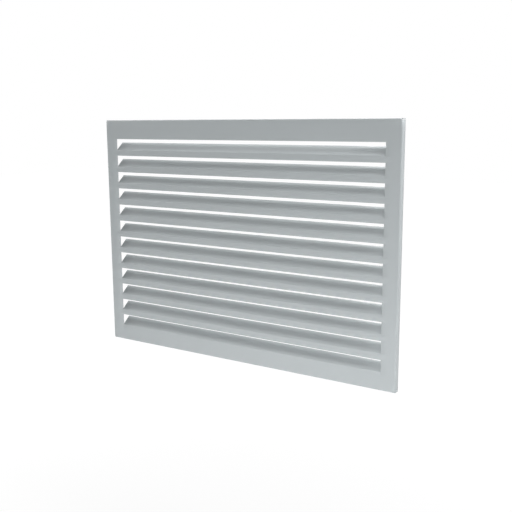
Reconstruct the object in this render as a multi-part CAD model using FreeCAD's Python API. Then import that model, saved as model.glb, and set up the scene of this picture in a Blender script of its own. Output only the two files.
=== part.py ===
"""Louvred ventilation panel, folded and lanced from one sheet of metal.

Millimetres. X runs along the panel, Y back into the wall and Z up. The origin is the middle of
the bottom fold's rear edge, so the wall is the plane y = 0 and the face stands in front of it.
"""
import math
import os

import FreeCAD
import Part

# The sheet and its outline over the folds
WIDTH = 350.0
HEIGHT = 250.0
DEPTH = 7.0            # from the wall to the front of the face
SHEET = 0.8            # thickness of the metal
NEUTRAL = 0.4          # share of the thickness, from a bend's inside, that keeps its length

# The rim: four folds at right angles, the side folds standing between the other two
FOLD_RADIUS = 0.4      # inside the bend
CORNER_GAP = 0.4       # from a side fold's end to the fold above or below it

# The louvres: equal windows with a strip of flat sheet between them
ROWS = 12
SIDE_MARGIN = 15.0     # flat face beside the windows
TOP_MARGIN = 20.6      # flat face over the first window
BOTTOM_MARGIN = 17.2   # flat face under the last window
STRIP = 5.7            # flat sheet from a window's top up to the next blade's bend
BLADE_ANGLE = 52.8     # degrees that a blade leans back from upright
BLADE_RADIUS = 0.4     # inside the bend at a blade's foot
LANCE_GAP = 0.15       # left by the shear along a blade's ends and free edge

FRONT = -DEPTH
FOLD_OUTSIDE = FOLD_RADIUS + SHEET

WINDOW_WIDTH = WIDTH - 2 * SIDE_MARGIN
WINDOW_HEIGHT = (HEIGHT - TOP_MARGIN - BOTTOM_MARGIN - (ROWS - 1) * STRIP) / ROWS
PITCH = WINDOW_HEIGHT + STRIP

# A blade is the metal of its own window, so the bend and the flat share the window's height.
BLADE_TURN = math.radians(BLADE_ANGLE)
BEND_LENGTH = BLADE_TURN * (BLADE_RADIUS + NEUTRAL * SHEET)
BLADE_WIDTH = WINDOW_WIDTH - 2 * LANCE_GAP
BLADE_FLAT = WINDOW_HEIGHT - LANCE_GAP - BEND_LENGTH
FOLD_TURN = math.pi / 2


def sheet_point(inside, radius, turn, reach=0.0):
    """A point of a bend that starts up the face at z = 0, or that far past it on the flat.

    The bend turns back about a line behind the sheet. Its radius there is the inside one on the
    sheet's rear and the outside one on its front.
    """
    y = FRONT + inside + SHEET - radius * math.cos(turn) + reach * math.sin(turn)
    z = radius * math.sin(turn) + reach * math.cos(turn)
    return FreeCAD.Vector(0, y, z)


def along_x(wire, length):
    """A closed outline in the YZ plane drawn out along X, centred on the panel."""
    face = Part.Face(wire)
    face.translate(FreeCAD.Vector(-length / 2, 0, 0))
    return face.extrude(FreeCAD.Vector(length, 0, 0))


def bend(inside, turn, length):
    """The curved stretch of sheet between the face and what is bent back from it."""
    arcs = []
    for radius in (inside + SHEET, inside):
        points = [sheet_point(inside, radius, turn * share) for share in (0, 0.5, 1)]
        arcs.append(Part.Arc(*points))
    outer, inner = arcs
    foot = Part.LineSegment(inner.StartPoint, outer.StartPoint)
    end = Part.LineSegment(outer.EndPoint, inner.EndPoint)
    edges = [edge.toShape() for edge in (outer, end, inner, foot)]
    return along_x(Part.Wire(edges), length)


def flat_past_bend(inside, turn, reach, length):
    """The flat sheet that carries on from the end of a bend."""
    outside = inside + SHEET
    corners = [
        sheet_point(inside, outside, turn),
        sheet_point(inside, outside, turn, reach),
        sheet_point(inside, inside, turn, reach),
        sheet_point(inside, inside, turn),
    ]
    return along_x(Part.makePolygon(corners + corners[:1]), length)


def face_sheet():
    """The flat of the face, out to where the folds start to turn, with its windows cut."""
    flat_width = WIDTH - 2 * FOLD_OUTSIDE
    flat_height = HEIGHT - 2 * FOLD_OUTSIDE
    corner = FreeCAD.Vector(-flat_width / 2, FRONT, FOLD_OUTSIDE)
    sheet = Part.makeBox(flat_width, SHEET, flat_height, corner)
    windows = []
    for row in range(ROWS):
        corner = FreeCAD.Vector(-WINDOW_WIDTH / 2, FRONT, BOTTOM_MARGIN + row * PITCH)
        windows.append(Part.makeBox(WINDOW_WIDTH, SHEET, WINDOW_HEIGHT, corner))
    return sheet.cut(windows)


def blades():
    """A blade with its bend at the foot of each window, free at both ends and on top."""
    foot = bend(BLADE_RADIUS, BLADE_TURN, BLADE_WIDTH)
    blade = foot.fuse(flat_past_bend(BLADE_RADIUS, BLADE_TURN, BLADE_FLAT, BLADE_WIDTH))
    row_heights = [BOTTOM_MARGIN + row * PITCH for row in range(ROWS)]
    return [blade.translated(FreeCAD.Vector(0, 0, height)) for height in row_heights]


def fold(bend_length, flat_length):
    """One side of the rim as it stands on top of the panel, with its outside at z = 0."""
    reach = DEPTH - FOLD_OUTSIDE
    curved = bend(FOLD_RADIUS, FOLD_TURN, bend_length)
    side = curved.fuse(flat_past_bend(FOLD_RADIUS, FOLD_TURN, reach, flat_length))
    side.translate(FreeCAD.Vector(0, 0, -FOLD_OUTSIDE))
    return side


def placed(side, degrees, x, z):
    """A side of the rim turned about Y and moved to where its outside lies."""
    moved = side.copy()
    moved.rotate(FreeCAD.Vector(0, 0, 0), FreeCAD.Vector(0, 1, 0), degrees)
    moved.translate(FreeCAD.Vector(x, 0, z))
    return moved


def rim():
    """Full-width folds above and below, whose flats cap the shorter folds at the sides."""
    long_fold = fold(WIDTH - 2 * FOLD_OUTSIDE, WIDTH)
    inset = max(FOLD_OUTSIDE, SHEET + CORNER_GAP)
    side_length = HEIGHT - 2 * inset
    side_fold = fold(side_length, side_length)
    return [
        placed(long_fold, 0, 0, HEIGHT),
        placed(long_fold, 180, 0, 0),
        placed(side_fold, 90, WIDTH / 2, HEIGHT / 2),
        placed(side_fold, -90, -WIDTH / 2, HEIGHT / 2),
    ]


def louvred_panel():
    """The panel as the one piece of sheet that it is."""
    panel = face_sheet().fuse(blades() + rim()).removeSplitter()
    if len(panel.Solids) != 1 or not panel.isValid():
        raise ValueError(f"the panel must be one sound solid, not {len(panel.Solids)}")
    return panel.Solids[0]


def main():
    os.makedirs("parts", exist_ok=True)
    panel = louvred_panel()
    panel.exportStep("parts/louvred_panel.step")
    box = panel.BoundBox
    print(f"louvred_panel: {box.XLength:.2f} x {box.YLength:.2f} x {box.ZLength:.2f} mm")
    print(f"pitch {PITCH:.2f}, window {WINDOW_HEIGHT:.2f}, flat of a blade {BLADE_FLAT:.2f} mm")
    print(f"volume {panel.Volume / 1000:.1f} cm3, {len(panel.Faces)} faces")


main()
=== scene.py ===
import math

import bpy
from mathutils import Matrix, Vector


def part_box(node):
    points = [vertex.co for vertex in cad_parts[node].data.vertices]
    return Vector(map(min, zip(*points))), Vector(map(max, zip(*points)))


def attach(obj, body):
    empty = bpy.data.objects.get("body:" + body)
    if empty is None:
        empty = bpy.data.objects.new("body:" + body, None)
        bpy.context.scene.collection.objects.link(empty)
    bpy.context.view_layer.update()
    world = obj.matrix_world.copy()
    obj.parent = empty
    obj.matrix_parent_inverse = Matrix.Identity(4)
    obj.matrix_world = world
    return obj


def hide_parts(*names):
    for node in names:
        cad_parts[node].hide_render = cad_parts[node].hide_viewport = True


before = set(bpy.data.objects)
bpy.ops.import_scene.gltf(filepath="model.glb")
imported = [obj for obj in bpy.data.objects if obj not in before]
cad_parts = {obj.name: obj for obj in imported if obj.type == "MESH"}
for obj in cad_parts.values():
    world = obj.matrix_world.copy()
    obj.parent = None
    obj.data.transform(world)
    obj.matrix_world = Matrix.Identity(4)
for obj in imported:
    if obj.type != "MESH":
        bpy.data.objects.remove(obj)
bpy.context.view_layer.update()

MM = 0.001

# The sheet, in metres. Its outline is the solid panel's own.
PANEL = "louvred_panel"
LOW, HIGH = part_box(PANEL)
WIDTH = HIGH.x - LOW.x
HEIGHT = HIGH.z - LOW.z
DEPTH = -LOW.y
SHEET = 0.8 * MM
NEUTRAL = 0.4            # share of the thickness, from a bend's inside, that keeps its length
FOLD_RADIUS = 0.4 * MM   # inside the bend
ROWS = 12
SIDE_MARGIN = 15.0 * MM
TOP_MARGIN = 20.6 * MM
BOTTOM_MARGIN = 17.2 * MM
STRIP = 5.7 * MM         # flat sheet from a window's top up to the next blade's bend
BLADE_ANGLE = math.radians(49.5)    # from upright
BLADE_RADIUS = 0.4 * MM
LANCE_GAP = 0.1 * MM     # left by the shear along a blade's ends and free edge

# Cut edges, eased a little, wherever the sheet turns by more than a bend's one step
EDGE_ROUND = 0.07 * MM
EDGE_STEPS = 2
EDGE_ANGLE = math.radians(60)

# Steps of the mesh round a bend, across a flat stretch, up a blade and along it
BEND_STEPS = 8
FLAT_STEPS = 2
BLADE_STEPS_UP = 3
BLADE_STEPS_ALONG = 8

# Part of a pitch that a height is raised by before it is put in a row
ROW_NUDGE = 1e-4

# Powder coat: its two tones, its gloss, and the size of its mottle and orange peel
COAT_TONES = [(0.405, 0.437, 0.448, 1.0), (0.430, 0.463, 0.474, 1.0)]
COAT_ROUGHNESS = 0.42
COAT_ROUGHNESS_RANGE = 0.08
MOTTLE_SCALE = 14.0
PEEL_SCALE = 450.0
PEEL_STRENGTH = 0.25
PEEL_HEIGHT = 0.02 * MM

# The camera stands to the right of the panel, a little above its middle.
CAMERA_DISTANCE = 0.7494
CAMERA_AZIMUTH = math.radians(32.95)
CAMERA_ELEVATION = math.radians(10.27)
CAMERA_ROLL = math.radians(-0.334)
CAMERA_AIM = Vector((23.2 * MM, 0.0, -10.1 * MM))    # from the middle of the face
CAMERA_LENS = 52.48
CAMERA_SENSOR = 36.0

# The floor, in metres, its shades, and how much of its white the lamps give it under the panel
FLOOR_DROP = 0.30
FLOOR_HALF = 6.0
FLOOR_SHADE = 0.8        # as it lights the panel
FLOOR_FAINT = 0.1        # as it is seen, beside its glow
FLOOR_LIT = 0.16
FLOOR_LIT_REACH = 1.0
WHITE = (1.0, 1.0, 1.0, 1.0)

# Soft boxes: degrees round from the front towards +X, degrees up, metres off, side, watts
LAMPS = {
    "low_right": (35.5, -30.2, 0.498, 0.3, 0.95),
    "low_left": (-32.0, -32.5, 0.559, 0.4, 0.74),
    "near_right": (48.8, 5.4, 0.534, 0.3, 0.27),
    "right": (90.0, 50.0, 1.3, 0.8, 15.75),
    "left": (-75.0, 25.0, 1.3, 0.8, 4.3),
    "top": (-90.0, 72.0, 1.3, 0.8, 3.7),
    "rear": (160.0, 58.0, 1.3, 0.8, 12.6),
}
AMBIENT = 0.10           # strength of the even surround as a light
SEEN = 1.0               # and as it is looked at


# --- node trees ---------------------------------------------------------------------------------

class Value:
    """A socket of a node tree, which Python's operators turn into Math nodes."""

    def __init__(self, graph, socket):
        self.graph = graph
        self.socket = socket

    def __add__(self, other):
        return self.graph.maths("ADD", self, other)

    def __sub__(self, other):
        return self.graph.maths("SUBTRACT", self, other)

    def __mul__(self, other):
        return self.graph.maths("MULTIPLY", self, other)

    def __truediv__(self, other):
        return self.graph.maths("DIVIDE", self, other)

    def __radd__(self, other):
        return self.graph.maths("ADD", other, self)

    def __rsub__(self, other):
        return self.graph.maths("SUBTRACT", other, self)

    def __rtruediv__(self, other):
        return self.graph.maths("DIVIDE", other, self)

    def __neg__(self):
        return self * -1.0

    def __abs__(self):
        return self.graph.maths("ABSOLUTE", self)

    def __lt__(self, other):
        return self.graph.maths("LESS_THAN", self, other)

    def __gt__(self, other):
        return self.graph.maths("GREATER_THAN", self, other)

    def __getattr__(self, operation):
        """value.sine(), value.minimum(2.0) and the like name a Math node's operation."""
        return lambda *others: self.graph.maths(operation.upper(), self, *others)


class Graph:
    """A node tree as it is written, with one method that adds every kind of node."""

    def __init__(self, tree):
        self.tree = tree

    def plug(self, socket, value):
        """Feed a socket from a number, a Value, or a list of Values that it joins."""
        for one in value if isinstance(value, list) else [value]:
            if isinstance(one, Value):
                self.tree.links.new(one.socket, socket)
            else:
                socket.default_value = one

    def add(self, kind, settings=None, inputs=None, output=0):
        """Add a node, set it, feed it, and give one of its outputs."""
        node = self.tree.nodes.new(kind)
        for name, setting in (settings or {}).items():
            setattr(node, name, setting)
        for key, value in (inputs or {}).items():
            self.plug(node.inputs[key], value)
        return Value(self, node.outputs[output]) if len(node.outputs) else node

    def maths(self, operation, *operands):
        """A Math node on one to three numbers."""
        return self.add("ShaderNodeMath", {"operation": operation}, dict(enumerate(operands)))

    def vector(self, x=0.0, y=0.0, z=0.0):
        """Three numbers as one vector."""
        return self.add("ShaderNodeCombineXYZ", None, {"X": x, "Y": y, "Z": z})

    def axes(self, vector):
        """The three numbers of a vector."""
        return [
            self.add("ShaderNodeSeparateXYZ", None, {"Vector": vector}, output=axis)
            for axis in "XYZ"
        ]


# --- the folded and lanced sheet ----------------------------------------------------------------

class PanelTree(Graph):
    """Geometry nodes that cut the panel's blank out of flat sheet and then bend it.

    The surface is the sheet's front and outside. Its thickness is added behind it afterwards.
    """

    SIZES = {
        "Width": WIDTH,
        "Height": HEIGHT,
        "Depth": DEPTH,
        "Sheet": SHEET,
        "Neutral": NEUTRAL,
        "Fold Radius": FOLD_RADIUS,
        "Rows": ROWS,
        "Side Margin": SIDE_MARGIN,
        "Top Margin": TOP_MARGIN,
        "Bottom Margin": BOTTOM_MARGIN,
        "Strip": STRIP,
        "Blade Angle": BLADE_ANGLE,
        "Blade Radius": BLADE_RADIUS,
        "Lance Gap": LANCE_GAP,
        "Bend Steps": BEND_STEPS,
        "Finish": None,
    }
    SOCKETS = {float: "NodeSocketFloat", int: "NodeSocketInt", type(None): "NodeSocketMaterial"}

    def __init__(self):
        super().__init__(bpy.data.node_groups.new("lanced_sheet", "GeometryNodeTree"))
        face = self.tree.interface
        face.new_socket("Geometry", in_out="OUTPUT", socket_type="NodeSocketGeometry")
        for name, size in self.SIZES.items():
            face.new_socket(name, in_out="INPUT", socket_type=self.SOCKETS[type(size)])
        source = self.tree.nodes.new("NodeGroupInput")
        self.given = {name: Value(self, source.outputs[name]) for name in self.SIZES}
        self.derive()
        blank = self.cut(self.laid_flat())
        folded = self.bent(blank)
        placed = self.add("GeometryNodeRealizeInstances", None, {"Geometry": folded})
        done = self.add(
            "GeometryNodeSetMaterial", None,
            {"Geometry": placed, "Material": self.given["Finish"]},
        )
        self.add("NodeGroupOutput", None, {"Geometry": done})

    def derive(self):
        """Work the flat blank's lines out from the sizes, as a sheet metal shop does."""
        size = self.given
        self.sheet = size["Sheet"]
        self.rows = size["Rows"]
        self.gap = size["Lance Gap"]
        self.strip = size["Strip"]
        self.bottom = size["Bottom Margin"]
        self.middle = size["Height"] / 2
        self.fold_outside = size["Fold Radius"] + self.sheet
        self.blade_outside = size["Blade Radius"] + self.sheet
        neutral = self.sheet * size["Neutral"]
        self.fold_bend = (size["Fold Radius"] + neutral) * (math.pi / 2)
        self.blade_bend = (size["Blade Radius"] + neutral) * size["Blade Angle"]
        self.fold_reach = size["Depth"] - self.fold_outside
        self.flat_half_width = size["Width"] / 2 - self.fold_outside
        self.flat_half_height = self.middle - self.fold_outside
        self.window_half = size["Width"] / 2 - size["Side Margin"]
        self.blade_half = self.window_half - self.gap
        windows = size["Height"] - size["Top Margin"] - self.bottom
        self.window = (windows - (self.rows - 1) * self.strip) / self.rows
        self.pitch = self.window + self.strip
        self.blade_flat = self.window - self.gap - self.blade_bend

    def ruler(self, start, stretches):
        """Points along X that mark out stretches of so many steps, without the last one's end."""
        lines = []
        for length, steps in stretches:
            lines.append(self.add("GeometryNodeMeshLine", None, {
                "Count": steps,
                "Start Location": self.vector(x=start),
                "Offset": self.vector(x=length / steps),
            }))
            start = start + length
        return lines, start

    def in_order(self, lines):
        """The points of several rulers sorted along X, and how many there are."""
        joined = self.add("GeometryNodeJoinGeometry", None, {"Geometry": lines})
        along = self.axes(self.add("GeometryNodeInputPosition"))[0]
        ruler = self.add(
            "GeometryNodeSortElements", {"domain": "POINT"},
            {"Geometry": joined, "Sort Weight": along},
        )
        count = self.add(
            "GeometryNodeAttributeDomainSize", None, {"Geometry": ruler}, output="Point Count",
        )
        return ruler, count

    def across(self):
        """The blank's upright lines, from the left fold's edge to the right one's."""
        bend_steps = self.given["Bend Steps"]
        margin = self.flat_half_width - self.window_half
        half = [
            (self.fold_reach, FLAT_STEPS),
            (self.fold_bend, bend_steps),
            (margin, FLAT_STEPS),
            (self.gap, 1),
        ]
        blade = [(self.blade_half * 2, BLADE_STEPS_ALONG)]
        edge = -(self.flat_half_width + self.fold_bend + self.fold_reach)
        lines, end = self.ruler(edge, half + blade + half[::-1])
        last, _ = self.ruler(end, [(self.gap, 1)])
        return self.in_order(lines + last)

    def upwards(self):
        """The blank's level lines, from the bottom fold's edge to the top one's."""
        bend_steps = self.given["Bend Steps"]
        fold = [(self.fold_reach, FLAT_STEPS), (self.fold_bend, bend_steps)]
        edge = self.fold_outside - self.fold_bend - self.fold_reach
        under = self.bottom - self.fold_outside
        lines, start = self.ruler(edge, fold + [(under, FLAT_STEPS)])
        one_row, _ = self.ruler(0.0, [
            (self.blade_bend, bend_steps),
            (self.blade_flat, BLADE_STEPS_UP),
            (self.gap, 1),
            (self.strip, FLAT_STEPS),
        ])
        row_starts = self.add("GeometryNodeMeshLine", None, {
            "Count": self.rows,
            "Start Location": self.vector(x=start),
            "Offset": self.vector(x=self.pitch),
        })
        louvres = self.add("GeometryNodeInstanceOnPoints", None, {
            "Points": row_starts,
            "Instance": self.add("GeometryNodeJoinGeometry", None, {"Geometry": one_row}),
        })
        louvres = self.add("GeometryNodeRealizeInstances", None, {"Geometry": louvres})
        start = start + self.rows * self.pitch
        top = self.middle + self.flat_half_height - start
        lines_over, end = self.ruler(start, [(top, FLAT_STEPS)] + fold[::-1])
        last, _ = self.ruler(end, [(self.gap, 1)])
        return self.in_order(lines + [louvres] + lines_over + last)

    def mark(self, ruler, count, place):
        """The mark of a ruler that a grid point's place along one side stands for."""
        index = (place + (count - 1) / 2).round()
        position = self.add("GeometryNodeInputPosition")
        at = self.add(
            "GeometryNodeSampleIndex", {"data_type": "FLOAT_VECTOR", "domain": "POINT"},
            {"Geometry": ruler, "Value": position, "Index": index},
        )
        return self.axes(at)[0]

    def laid_flat(self):
        """The uncut sheet, with a line of points along every cut and every bend."""
        columns, column_count = self.across()
        levels, level_count = self.upwards()
        grid = self.add("GeometryNodeMeshGrid", None, {
            "Size X": column_count - 1,
            "Size Y": level_count - 1,
            "Vertices X": column_count,
            "Vertices Y": level_count,
        })
        x, y, _ = self.axes(self.add("GeometryNodeInputPosition"))
        flat = self.vector(
            self.mark(columns, column_count, x),
            -self.given["Depth"],
            self.mark(levels, level_count, y),
        )
        return self.add("GeometryNodeSetPosition", None, {"Geometry": grid, "Position": flat})

    def where(self):
        """What the cuts and bends need to know of a place on the flat blank.

        A point on a window's lower edge counts in that window's row, so it is nudged up a hair.
        """
        x, y, z = self.axes(self.add("GeometryNodeInputPosition"))
        out = abs(x)
        up = abs(z - self.middle)
        row = ((z - self.bottom) / self.pitch + ROW_NUDGE).floor()
        row_start = self.bottom + row * self.pitch
        in_rows = (row > -0.5) * (row < self.rows - 0.5)
        return x, y, z, out, up, row_start, in_rows

    def cut(self, blank):
        """Shear the windows round their blades, and notch the corners between the folds."""
        _, _, z, out, up, row_start, in_rows = self.where()
        over = z - row_start
        in_window = in_rows * (over < self.window) * (out < self.window_half)
        in_blade = (over < self.window - self.gap) * (out < self.blade_half)
        beside = out > self.flat_half_width
        beyond = up > self.flat_half_height
        cap = (up > self.flat_half_height + self.fold_bend) * (
            out < self.flat_half_width + self.fold_bend
        )
        waste = in_window * (1 - in_blade) + beside * beyond * (1 - cap)
        return self.add(
            "GeometryNodeDeleteGeometry", {"domain": "FACE"},
            {"Geometry": blank, "Selection": waste},
        )

    def turned(self, developed, outside, bend, angle):
        """How far up and how far back a length of flat sheet comes once it is bent."""
        turn = (developed / bend).minimum(1.0).maximum(0.0) * angle
        past = (developed - bend).maximum(0.0)
        up = outside * turn.sine() + past * turn.cosine()
        back = outside * (1 - turn.cosine()) + past * turn.sine()
        return up, back

    def bent(self, blank):
        """Lean the blades back and fold the four sides of the rim."""
        x, y, z, out, up, row_start, in_rows = self.where()
        half_gap = self.gap / 2
        over = z - row_start
        on_blade = in_rows * (over < self.window - half_gap) * (out < self.blade_half + half_gap)
        rise, lean = self.turned(
            over, self.blade_outside, self.blade_bend, self.given["Blade Angle"],
        )
        blade_z = on_blade * (row_start + rise) + (1 - on_blade) * z

        quarter = math.pi / 2
        beside = (out - self.flat_half_width).maximum(0.0)
        beyond = (up - self.flat_half_height).maximum(0.0)
        side_out, side_back = self.turned(beside, self.fold_outside, self.fold_bend, quarter)
        end_up, end_back = self.turned(beyond, self.fold_outside, self.fold_bend, quarter)

        # The long folds' flats run on past the bend, straight, to cap the side folds.
        capping = beyond > self.fold_bend / 2
        cap_out = beside / self.fold_bend * self.fold_outside
        new_out = capping * cap_out + (1 - capping) * side_out
        new_x = x.sign() * (out.minimum(self.flat_half_width) + new_out)
        on_end = beyond > 0.0
        end_z = self.middle + (z - self.middle).sign() * (self.flat_half_height + end_up)
        new_z = on_end * end_z + (1 - on_end) * blade_z
        new_y = y + on_blade * lean + (1 - capping) * side_back + end_back
        return self.add(
            "GeometryNodeSetPosition", None,
            {"Geometry": blank, "Position": self.vector(new_x, new_y, new_z)},
        )


def made_by_nodes(name, tree, sizes):
    """An object whose mesh the tree makes, with its sizes given by the sockets' identifiers."""
    piece = bpy.data.objects.new(name, bpy.data.meshes.new(name))
    bpy.context.scene.collection.objects.link(piece)
    nodes = piece.modifiers.new("nodes", "NODES")
    nodes.node_group = tree
    for socket in tree.interface.items_tree:
        if socket.in_out == "INPUT":
            nodes[socket.identifier] = sizes[socket.name]
    return piece


def to_plain_mesh(piece, finish):
    """Put the modifiers' result in the object's mesh, in one finish, and take them off."""
    seen = bpy.context.evaluated_depsgraph_get()
    mesh = bpy.data.meshes.new_from_object(piece.evaluated_get(seen))
    mesh.name = piece.name
    mesh.materials.clear()
    mesh.materials.append(finish)
    piece.modifiers.clear()
    piece.data = mesh


def folded_panel(finish):
    """The whole panel: the blank cut and bent, given its thickness, its cut edges eased."""
    tree = PanelTree()
    panel = made_by_nodes("folded_panel", tree.tree, {**PanelTree.SIZES, "Finish": finish})
    thickness = panel.modifiers.new("thickness", "SOLIDIFY")
    thickness.thickness = SHEET
    thickness.offset = -1.0
    thickness.use_even_offset = True
    edges = panel.modifiers.new("edges", "BEVEL")
    edges.width = EDGE_ROUND
    edges.segments = EDGE_STEPS
    edges.limit_method = "ANGLE"
    edges.angle_limit = EDGE_ANGLE
    weighted = panel.modifiers.new("shading", "WEIGHTED_NORMAL")
    weighted.keep_sharp = False
    to_plain_mesh(panel, finish)
    panel.data.shade_smooth()
    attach(panel, "root")
    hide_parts(PANEL)


# --- finishes -----------------------------------------------------------------------------------

def new_material(name):
    """An empty material and its node tree."""
    material = bpy.data.materials.new(name)
    material.use_nodes = True
    material.node_tree.nodes.clear()
    return material, Graph(material.node_tree)


def powder_coat():
    """Satin light grey powder coat, with the faint orange peel that it cures with."""
    material, graph = new_material("satin_powder_coat")
    place = graph.add("ShaderNodeTexCoord", output="Object")
    peel = graph.add("ShaderNodeTexNoise", None, {
        "Vector": place, "Scale": PEEL_SCALE, "Detail": 3.0, "Roughness": 0.55,
    })
    mottle = graph.add("ShaderNodeTexNoise", None, {
        "Vector": place, "Scale": MOTTLE_SCALE, "Detail": 2.0, "Roughness": 0.5,
    })
    darker, lighter = COAT_TONES
    tone = graph.add("ShaderNodeMix", {"data_type": "RGBA"}, {
        0: mottle, 6: darker, 7: lighter,
    }, output=2)
    bump = graph.add("ShaderNodeBump", None, {
        "Strength": PEEL_STRENGTH, "Distance": PEEL_HEIGHT, "Height": peel,
    })
    surface = graph.add("ShaderNodeBsdfPrincipled", None, {
        "Base Color": tone,
        "Metallic": 0.0,
        "Roughness": COAT_ROUGHNESS + (peel - 0.5) * COAT_ROUGHNESS_RANGE,
        "Normal": bump,
    })
    graph.add("ShaderNodeOutputMaterial", None, {"Surface": surface})
    return material


# --- stage, lamps and camera --------------------------------------------------------------------

def seen_directly(graph):
    """One for the rays that look at the surroundings, straight on or through a gloss or glass."""
    rays = [
        graph.add("ShaderNodeLightPath", output=f"Is {kind} Ray")
        for kind in ("Camera", "Glossy", "Transmission")
    ]
    return rays[0].maximum(rays[1]).maximum(rays[2])


def studio_floor():
    """A wide pale floor below the panel, which shows white and keeps the panel's shadow.

    The lamps light it less and less away from the panel, so its own glow makes up the rest.
    """
    middle = (LOW + HIGH) / 2
    level = LOW.z - FLOOR_DROP
    turns = [(-1, -1), (1, -1), (1, 1), (-1, 1)]
    corners = [
        (middle.x + x * FLOOR_HALF, middle.y + y * FLOOR_HALF, level) for x, y in turns
    ]
    mesh = bpy.data.meshes.new("floor")
    mesh.from_pydata(corners, [], [(0, 1, 2, 3)])
    floor = bpy.data.objects.new("floor", mesh)
    bpy.context.scene.collection.objects.link(floor)

    material, graph = new_material("floor")
    away = graph.add("ShaderNodeVectorMath", {"operation": "DISTANCE"}, {
        0: graph.add("ShaderNodeTexCoord", output="Object"),
        1: (middle.x, middle.y, level),
    }, output="Value")
    spread = 1 + away * away / FLOOR_LIT_REACH ** 2
    lit = FLOOR_LIT / (spread * spread)
    glow = graph.add("ShaderNodeEmission", None, {"Color": WHITE, "Strength": SEEN - lit})
    paint, faint = [
        graph.add("ShaderNodeBsdfDiffuse", None, {"Color": (shade, shade, shade, 1.0)})
        for shade in (FLOOR_SHADE, FLOOR_FAINT)
    ]
    white = graph.add("ShaderNodeAddShader", None, {0: faint, 1: glow})
    surface = graph.add("ShaderNodeMixShader", None, {0: seen_directly(graph), 1: paint, 2: white})
    graph.add("ShaderNodeOutputMaterial", None, {"Surface": surface})
    mesh.materials.append(material)


def studio_world():
    """A faint even surround, white where it is looked at."""
    world = bpy.data.worlds.new("studio")
    bpy.context.scene.world = world
    world.use_nodes = True
    world.node_tree.nodes.clear()
    graph = Graph(world.node_tree)
    soft, white = [
        graph.add("ShaderNodeBackground", None, {"Color": WHITE, "Strength": level})
        for level in (AMBIENT, SEEN)
    ]
    surface = graph.add("ShaderNodeMixShader", None, {0: seen_directly(graph), 1: soft, 2: white})
    graph.add("ShaderNodeOutputWorld", None, {"Surface": surface})


def studio_lamps():
    """Square soft boxes, all turned to the panel's middle."""
    middle = (LOW + HIGH) / 2
    for name, (azimuth, elevation, distance, side, watts) in LAMPS.items():
        light = bpy.data.lights.new(name, "AREA")
        light.shape = "SQUARE"
        light.size = side
        light.energy = watts
        lamp = bpy.data.objects.new(name, light)
        turn = (
            Matrix.Rotation(math.radians(azimuth), 4, "Z")
            @ Matrix.Rotation(math.radians(90.0 - elevation), 4, "X")
        )
        lamp.matrix_world = (
            Matrix.Translation(middle) @ turn @ Matrix.Translation((0.0, 0.0, distance))
        )
        lamp.visible_camera = False
        bpy.context.scene.collection.objects.link(lamp)


def camera():
    """The camera, turned round and above the point that it looks at."""
    lens = bpy.data.cameras.new("camera")
    lens.lens = CAMERA_LENS
    lens.sensor_width = CAMERA_SENSOR
    seat = bpy.data.objects.new("camera", lens)
    bpy.context.scene.collection.objects.link(seat)
    turn = (
        Matrix.Rotation(CAMERA_AZIMUTH, 4, "Z")
        @ Matrix.Rotation(math.pi / 2 - CAMERA_ELEVATION, 4, "X")
        @ Matrix.Rotation(CAMERA_ROLL, 4, "Z")
    )
    aim = Vector(((LOW.x + HIGH.x) / 2, LOW.y, (LOW.z + HIGH.z) / 2)) + CAMERA_AIM
    back = turn @ Vector((0.0, 0.0, CAMERA_DISTANCE))
    seat.matrix_world = Matrix.Translation(aim + back) @ turn
    bpy.context.scene.camera = seat


bpy.context.scene.view_settings.view_transform = "Standard"
folded_panel(powder_coat())
studio_floor()
studio_world()
studio_lamps()
camera()
